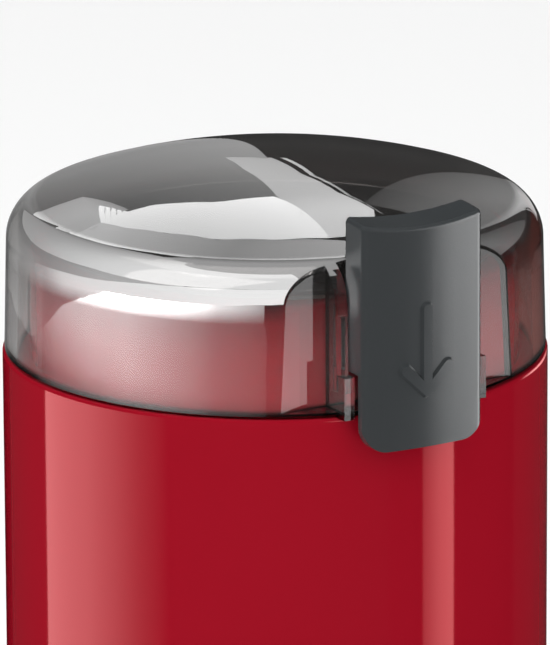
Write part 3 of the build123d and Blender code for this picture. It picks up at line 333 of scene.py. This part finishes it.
# %% Tent
TENT_GLOW = 1.7
TENT_DISTANCE = 0.6
STREAK_DISTANCE = 0.7
tent_foot = (
    (-165, -15.0), (-123, -14.7), (-109, -13.9), (-98, -13.2), (-84, -12.5),
    (-72, -12.0), (-46, -11.5), (-23, -8.4), (3, -6.9), (14, -6.5),
)
streak_foot = (
    (-165, -13.0), (-121, -6.0), (-109, -2.5), (-98, 1.0), (-84, 5.0),
    (-72, 10.0), (-55, 21.0), (-30, 29.0), (3, 30.0), (14, 30.0),
)
streak_head = (
    (-157, 10), (-123, 14), (-106, 19), (-87, 24.5),
    (-66, 25.5), (-50, 26), (-23, 30.0), (14, 30.0),
)
tent_head = (
    (-153, 36), (-148, 60), (-125, 70), (-100, 70),
    (-75, 70), (-50, 70), (-20, 70), (14, 70),
)
sheet_fade = (0.05, 0.25, 0.5, 0.85, 1, 1.05, 1.1, 1.2, 1.2, 1.2)
top_fade = (0.3, 0.46, 0.68, 0.9, 1, 1, 1, 1)
mirrored_panel(
    "tent_sheet", REST, tent_foot, streak_foot, TENT_GLOW, fade=sheet_fade, distance=TENT_DISTANCE
)
mirrored_panel("tent_top", REST, streak_head, tent_head, TENT_GLOW, fade=top_fade, distance=TENT_DISTANCE)
level_panel(
    "streak_fill", REST, left=-157, right=-40, low=-13, high=30, strength=1.05,
    fade=(0.2, 0.45, 0.9, 1), distance=STREAK_DISTANCE,
)
level_panel(
    "side_tent", REST, left=95, right=150, low=12, high=45, strength=0.3, fade=(0.4, 1, 0.4)
)
print("tent stands", TENT_DISTANCE, "m away")

# %% Roof
ROOF_GLOW = 0.7
ROOF_TOP = 89.9
roof_low = ((-180, 56), (-150, 58), (-120, 60), (0, 60), (120, 60), (150, 58), (180, 56))
roof_high = ((-180, ROOF_TOP), (180, ROOF_TOP))
mirrored_panel("roof", REST, roof_low, roof_high, ROOF_GLOW)
print("roof placed")

# %% [markdown]
# ## The bright shapes on the dome
# The dome is smooth and shows a bright patch, a long strip that leans beside it, a dim band above the
# patch and weak veils at its left and right. It looks up and back, so each shape is a panel behind the
# object. One square panel would give a plain bent square, so each edge follows the directions that the
# dome mirrors there.

# %% Bright panel and band
back_low = ((193, 26), (192.7, 31.8), (190.4, 31.7), (185.2, 34.9), (179.8, 33.9), (172.9, 46.8))
back_high = ((195.5, 32.6), (195, 37.2), (192.6, 42.3), (187.7, 47.4), (179.4, 48.7), (172.9, 47.2))
band_low = (
    (203, 33.5), (195.5, 32.6), (195, 37.2), (192.6, 42.3),
    (187.7, 47.4), (179.4, 48.7), (170, 47.2),
)
band_high = ((206, 37), (205, 45), (204, 49), (200, 57), (188, 56), (170, 57))
mirrored_panel("back_panel", REST, back_low, back_high, strength=5.2, fade=(1, 1, 1.05, 1.2, 1.4))
mirrored_panel("back_band", REST, band_low, band_high, strength=2.5, fade=(1.1, 1.3, 1.2, 0.9, 1.3))
print("bright panel and band placed")

# %% Strip with its thin line
strip_left = ((182.5, 14), (181.9, 21.8), (179.8, 33.9), (177.6, 39.7), (172.9, 47.2))
strip_right = ((180.1, 15.9), (178.2, 24), (174.8, 31), (170.6, 35.6), (168, 44))
line_left = ((179.6, 16), (177.6, 24.4), (174.1, 31.4), (169.9, 36.1))
line_right = ((179.3, 16.1), (177.2, 24.6), (173.6, 31.7), (169.4, 36.5))
strip_fade = (0.45, 0.65, 0.95, 1.4, 1.6)
mirrored_panel("back_strip", REST, strip_left, strip_right, strength=3.2, fade=strip_fade)
mirrored_panel("back_line", REST, line_left, line_right, strength=2.2)
print("strip placed")

# %% Veils at the left and right
BEHIND_DISTANCE = 3.0
left_low = ((192.3, 31), (192, 20), (205, 17), (223, 14))
left_high = ((195.6, 33), (196.2, 33.8), (206, 33), (223, 27))
wall_low = ((182, -20), (208, -20))
wall_high = ((179.5, 36), (208, 36))
mirrored_panel(
    "left_back", REST, left_low, left_high, strength=2.8,
    fade=(1, 0.9, 0.6, 0.5), rise=(0.6, 0.9, 1),
)
mirrored_panel(
    "left_wall", REST, wall_low, wall_high, strength=0.65,
    fade=(1.6, 0.7, 0.2), rise=(0.3, 0.5, 1, 1), distance=BEHIND_DISTANCE,
)
level_panel(
    "right_back", REST, left=158, right=172, low=-5, high=34, strength=0.8, fade=(0.7, 0.9, 0.8, 0.3)
)
print("veils placed")

# %% [markdown]
# ## Tall soft boxes
# The housing's upright wall mirrors what stands low at its sides: a soft box at the left with one hard
# edge, which fades to the front, and a narrow one at the right. Two more stand higher up at the right,
# for views from that side. White boxes would give white stripes, and the photograph's are pinkish, so
# these are tinted.

# %% Soft boxes on the wall
PINKISH = (1, 0.41, 0.41)
RED_GLOW = (1, 0.3, 0.3)
left_fade = (0.8, 0.85, 0.87, 0.62, 0.25, 0)
side_fade = (0.3, 1, 0.8, 0.4, 0)
level_panel(
    "left_softbox", WALL, left=-113, right=-45, low=-40, high=-15.5, strength=7.0,
    fade=left_fade, colour=PINKISH,
)
level_panel(
    "right_softbox", WALL, left=64, right=80, low=-22, high=-16.1, strength=9.0,
    fade=(0.3, 0.8, 1), colour=RED_GLOW,
)
level_panel(
    "near_side_box", WALL, left=20, right=44, low=-14.4, high=12, strength=6.0,
    fade=side_fade, colour=PINKISH,
)
level_panel(
    "far_side_box", WALL, left=124, right=160, low=-14.4, high=10, strength=6.0,
    fade=side_fade, colour=PINKISH,
)
print("soft boxes on the wall placed")

# %% [markdown]
# ## Soft boxes on lid and button
# The lid's wall leans a little, so it mirrors a strip just above the housing's left soft box. One tall
# box could serve both, but the lid's gleam is white and grows brighter upwards. The facet and the right
# half of the button have boxes of their own at the right.

# %% Soft boxes on lid and button
LID_BOX_DISTANCE = 0.62
lid_fade = (0.05, 0.65, 0.95, 1, 0.58, 0.2, 0.08)
lid_rise = (0.05, 0.2, 0.66, 0.8, 1, 1.2, 1.35, 1.5)
level_panel(
    "lid_softbox", REST, left=-122, right=-4, low=-15.4, high=-8, strength=11.0,
    fade=lid_fade, rise=lid_rise, distance=LID_BOX_DISTANCE,
)
level_panel("facet_glow", REST, left=48, right=64, low=-30, high=-5, strength=2.4)
level_panel(
    "button_softbox", BUTTON, left=64.5, right=120, low=-60, high=30, strength=3.2,
    distance=BEHIND_DISTANCE,
)
print("soft boxes on lid and button placed")

# %% [markdown]
# ## Light through the lid
# The neck inside the lid is lit through clear plastic. A lamp inside would show as a lamp, so one panel
# lights the neck without being seen. Two more are seen through the lid's left and right edge, which are
# paler.

# %% Light through the lid
WARM_RED = (1, 0.3, 0.25)
level_panel(
    "inner_glow", None, left=-120, right=80, low=-15, high=60, strength=3.0,
    inside=True, lights_only=True,
)
level_panel("through_left", None, left=194, right=240, low=-45, high=2, strength=0.4, inside=True)
level_panel(
    "through_right", None, left=110, right=168, low=-45, high=2, strength=0.22,
    colour=WARM_RED, inside=True,
)
print("light through the lid placed")

# %% [markdown]
# ## Finishes
# Each finish is a Principled shader with the detail that the real surface has: a faint ripple in
# moulded gloss plastic, a fine spark-eroded grain on the button, drawn lines on steel. Pictures could
# give these, but noise on Object coordinates keeps its scale on every piece and needs no unwrapping.

# %% Finish helpers
PLAIN = (1, 1, 1)
GRAIN_DETAIL = 3


def new_finish(name, colour, roughness, metallic=0.0):
    """A Principled material with its even values set on the shader."""
    finish = bpy.data.materials.new(name)
    finish.use_nodes = True
    shader = finish.node_tree.nodes["Principled BSDF"]
    shader.inputs["Base Color"].default_value = (*colour, 1)
    shader.inputs["Roughness"].default_value = roughness
    shader.inputs["Metallic"].default_value = metallic
    return finish, shader


def grain(finish, shader, waves, depth, stretch=PLAIN):
    """A bump of noise on Object coordinates, with so many waves to the metre."""
    tree = finish.node_tree
    place = tree.nodes.new("ShaderNodeTexCoord")
    mapping = tree.nodes.new("ShaderNodeMapping")
    mapping.inputs["Scale"].default_value = stretch
    noise = tree.nodes.new("ShaderNodeTexNoise")
    noise.inputs["Scale"].default_value = waves
    noise.inputs["Detail"].default_value = GRAIN_DETAIL
    bump = tree.nodes.new("ShaderNodeBump")
    bump.inputs["Strength"].default_value = 1.0
    bump.inputs["Distance"].default_value = depth
    tree.links.new(place.outputs["Object"], mapping.inputs["Vector"])
    tree.links.new(mapping.outputs["Vector"], noise.inputs["Vector"])
    tree.links.new(noise.outputs["Fac"], bump.inputs["Height"])
    tree.links.new(bump.outputs["Normal"], shader.inputs["Normal"])
    return noise


def mottle(finish, shader, noise, dark, light):
    """The colour runs a little between two tones along the noise."""
    tree = finish.node_tree
    ramp = tree.nodes.new("ShaderNodeValToRGB")
    ramp.color_ramp.elements[0].color = (*dark, 1)
    ramp.color_ramp.elements[1].color = (*light, 1)
    tree.links.new(noise.outputs["Fac"], ramp.inputs["Fac"])
    tree.links.new(ramp.outputs["Color"], shader.inputs["Base Color"])


FINISHES = {}
print("finish helpers ready")

# %% [markdown]
# ## Plastics and rubber outside
# The housing is moulded in red and polished, so its grain is a long, shallow ripple. Button and base
# are spark-eroded, which leaves a fine matte grain, and the rubber is the dullest. One shader with one
# roughness could do for all, but the grain's scale is what tells them apart up close.

# %% Plastics and rubber outside
red_gloss, shader = new_finish("red_gloss_plastic", colour=(0.37, 0.006, 0.018), roughness=0.06)
shader.inputs["Specular IOR Level"].default_value = 0.35
noise = grain(red_gloss, shader, waves=60, depth=0.000002)
mottle(red_gloss, shader, noise, dark=(0.365, 0.0055, 0.017), light=(0.375, 0.0065, 0.019))
FINISHES["red_gloss"] = red_gloss

button_grey, shader = new_finish("button_grey_plastic", colour=(0.05, 0.055, 0.058), roughness=0.2)
shader.inputs["Specular IOR Level"].default_value = 0.9
noise = grain(button_grey, shader, waves=4000, depth=0.00001)
mottle(button_grey, shader, noise, dark=(0.047, 0.052, 0.055), light=(0.053, 0.058, 0.061))
FINISHES["button_grey"] = button_grey

dark_grey, shader = new_finish("dark_grey_plastic", colour=(0.022, 0.023, 0.025), roughness=0.5)
noise = grain(dark_grey, shader, waves=4000, depth=0.00002)
mottle(dark_grey, shader, noise, dark=(0.019, 0.02, 0.022), light=(0.026, 0.027, 0.029))
FINISHES["dark_grey"] = dark_grey

black_rubber, shader = new_finish("black_rubber", colour=(0.012, 0.012, 0.012), roughness=0.75)
noise = grain(black_rubber, shader, waves=2500, depth=0.00003)
mottle(black_rubber, shader, noise, dark=(0.01, 0.01, 0.01), light=(0.016, 0.016, 0.016))
FINISHES["black_rubber"] = black_rubber
print("outer finishes:", len(FINISHES))

# %% [markdown]
# ## The smoke-clear lid
# The lid is clear plastic with a smoke tint that looks deeper towards the top, where the wall turns
# over. An absorbing volume could give that, but a ramp by height is easier to steer, and it also holds
# a painted shade: a near-black band at the foot of the lid stands in for the shadow in the seam gap.
# A coat makes the rolled shoulder mirror the tent more than the rest. It goes by height, and is left
# off upright surfaces so that the flat facet stays clear.

# %% Ramps by height on the lid
LID_TOP = 0.1674
CLEAR = (0.84, 0.82, 0.81)
CLEAREST = (0.92, 0.90, 0.89)
# Painted shade: the near-black colour of the lid's foot stands in for the shadow in the seam gap.
PAINTED_SEAM_SHADE = (0.05, 0.03, 0.028)
MID_SMOKE = (0.62, 0.6, 0.59)
DEEP_SMOKE = (0.38, 0.365, 0.355)
BARE = (0, 0, 0)
COATED = (1, 1, 1)
# The first two stops are painted seam shade, the rest is the smoke tint.
SMOKE_AND_SEAM_SHADE = (
    (SEAM_HEIGHT, PAINTED_SEAM_SHADE),
    (0.1377, PAINTED_SEAM_SHADE),
    (0.1383, CLEAREST),
    (0.1470, CLEAR),
    (0.1535, MID_SMOKE),
    (0.1562, DEEP_SMOKE),
    (LID_TOP, DEEP_SMOKE),
)
SHOULDER_COAT = (
    (SEAM_HEIGHT, BARE),
    (0.1520, BARE),
    (0.1545, COATED),
    (0.1607, COATED),
    (0.1612, BARE),
)


def height_ramp(tree, height, stops):
    """A ramp whose stops are heights on the lid, in metres."""
    ramp = tree.nodes.new("ShaderNodeValToRGB")
    while len(ramp.color_ramp.elements) < len(stops):
        ramp.color_ramp.elements.new(1.0)
    for stop, (rise, colour) in zip(ramp.color_ramp.elements, stops):
        stop.position = (rise - SEAM_HEIGHT) / (LID_TOP - SEAM_HEIGHT)
        stop.color = (*colour, 1)
    tree.links.new(height.outputs["Result"], ramp.inputs["Fac"])
    return ramp


print("ramps from", SEAM_HEIGHT, "to", LID_TOP, "m")

# %% Smoke-clear plastic
CLEAR_SHARE = 0.97
PLASTIC_IOR = 1.58
COAT_IOR = 4.0
POLISH = 0.015
UPRIGHT_TILT = 0.006
SHOULDER_TILT = 0.018

smoke_clear, shader = new_finish("smoke_clear_plastic", colour=CLEAR, roughness=POLISH)
shader.inputs["Transmission Weight"].default_value = CLEAR_SHARE
shader.inputs["IOR"].default_value = PLASTIC_IOR
shader.inputs["Coat IOR"].default_value = COAT_IOR
shader.inputs["Coat Roughness"].default_value = POLISH
tree = smoke_clear.node_tree
place = tree.nodes.new("ShaderNodeTexCoord")
split = tree.nodes.new("ShaderNodeSeparateXYZ")
height = tree.nodes.new("ShaderNodeMapRange")
height.inputs["From Min"].default_value = SEAM_HEIGHT
height.inputs["From Max"].default_value = LID_TOP
tree.links.new(place.outputs["Object"], split.inputs[0])
tree.links.new(split.outputs["Z"], height.inputs["Value"])
# This tint carries the smoke and the painted shade at the seam.
tint = height_ramp(tree, height, SMOKE_AND_SEAM_SHADE)
tree.links.new(tint.outputs["Color"], shader.inputs["Base Color"])
coat = height_ramp(tree, height, SHOULDER_COAT)
facing = tree.nodes.new("ShaderNodeSeparateXYZ")
tilt = tree.nodes.new("ShaderNodeMapRange")
tilt.inputs["From Min"].default_value = UPRIGHT_TILT
tilt.inputs["From Max"].default_value = SHOULDER_TILT
coat_share = tree.nodes.new("ShaderNodeMath")
coat_share.operation = "MULTIPLY"
tree.links.new(place.outputs["Normal"], facing.inputs[0])
tree.links.new(facing.outputs["Z"], tilt.inputs["Value"])
tree.links.new(coat.outputs["Color"], coat_share.inputs[0])
tree.links.new(tilt.outputs["Result"], coat_share.inputs[1])
tree.links.new(coat_share.outputs[0], shader.inputs["Coat Weight"])
FINISHES["smoke_clear"] = smoke_clear
print("lid finish with", len(SMOKE_AND_SEAM_SHADE), "stops of smoke")

# %% [markdown]
# ## Finishes inside
# Drawn, ground and wound metals show lines along one direction, so their grain is stretched. The resins
# have a matte moulded grain. Each could have a cell of its own, but they differ only in a few values,
# so two tables hold them: colour, roughness and stretch for the metals, colour alone for the resins.

# %% Finishes inside
METAL_WAVES = 1200
METAL_GRAIN_DEPTH = 0.00001
METAL_TONES = (0.9, 1.1)
RESIN_WAVES = 1500
RESIN_GRAIN_DEPTH = 0.00003
RESIN_TONES = (0.85, 1.15)
RESIN_ROUGHNESS = 0.5
METALS = {
    "bowl_steel": ((0.62, 0.62, 0.63), 0.24, (1, 1, 30)),
    "blade_steel": ((0.55, 0.55, 0.57), 0.28, (30, 1, 1)),
    "shaft_steel": ((0.5, 0.5, 0.52), 0.25, (1, 1, 30)),
    "screw_steel": ((0.45, 0.45, 0.46), 0.35, PLAIN),
    "sheet_steel": ((0.5, 0.5, 0.48), 0.4, (1, 20, 1)),
    "spring_steel": ((0.4, 0.4, 0.42), 0.3, PLAIN),
    "cast_alloy": ((0.5, 0.5, 0.51), 0.5, PLAIN),
    "bronze": ((0.42, 0.26, 0.12), 0.45, PLAIN),
    "brass_sheet": ((0.62, 0.45, 0.18), 0.3, (1, 20, 1)),
    "copper_wire": ((0.5, 0.2, 0.09), 0.35, (1, 1, 40)),
    "copper_bar": ((0.6, 0.3, 0.15), 0.3, PLAIN),
    "lamination": ((0.2, 0.2, 0.21), 0.45, (1, 1, 40)),
}
RESINS = {
    "brown_resin": (0.12, 0.06, 0.03),
    "white_resin": (0.62, 0.61, 0.57),
    "pale_silicone": (0.3, 0.29, 0.28),
    "switch_case": (0.02, 0.02, 0.022),
    "capacitor_case": (0.55, 0.36, 0.04),
    "carbon": (0.012, 0.012, 0.013),
}


def toned(colour, share):
    """A colour made darker or lighter by a share."""
    return [min(1, c * share) for c in colour]


for name, (colour, roughness, stretch) in METALS.items():
    finish, shader = new_finish(name, colour, roughness, metallic=1.0)
    noise = grain(finish, shader, METAL_WAVES, METAL_GRAIN_DEPTH, stretch)
    mottle(finish, shader, noise, *[toned(colour, share) for share in METAL_TONES])
    FINISHES[name] = finish
for name, colour in RESINS.items():
    finish, shader = new_finish(name, colour, RESIN_ROUGHNESS)
    noise = grain(finish, shader, RESIN_WAVES, RESIN_GRAIN_DEPTH)
    mottle(finish, shader, noise, *[toned(colour, share) for share in RESIN_TONES])
    FINISHES[name] = finish
print("finishes:", len(FINISHES))

# %% [markdown]
# ## Finishes on the pieces
# Each solid is made of one material. The finishes could be given out by hand, but the record already
# names a slot for every piece, so a loop reads it there.

# %% Each piece gets the finish of its slot
for row in frame["record"]["subparts"]:
    node = nodes[row["node"]]
    finish = FINISHES[row["material_slot"]]
    for slot in node.material_slots:
        slot.material = finish

# %% [markdown]
# ## The spring under the push rod
# A pressed rod shortens its return spring, which a rigid solid can't do. A new coil could be wound, but
# the solid has the right shape already, so a copy of it stands in its place, hung from the body, with a
# mesh of its own.

# %% Return spring copy in its place
spring = nodes["return_spring"].copy()
spring.data = nodes["return_spring"].data.copy()
spring.name = "return_coil"
scene.collection.objects.link(spring)
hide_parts("return_spring")
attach(spring, "body")
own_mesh(spring)
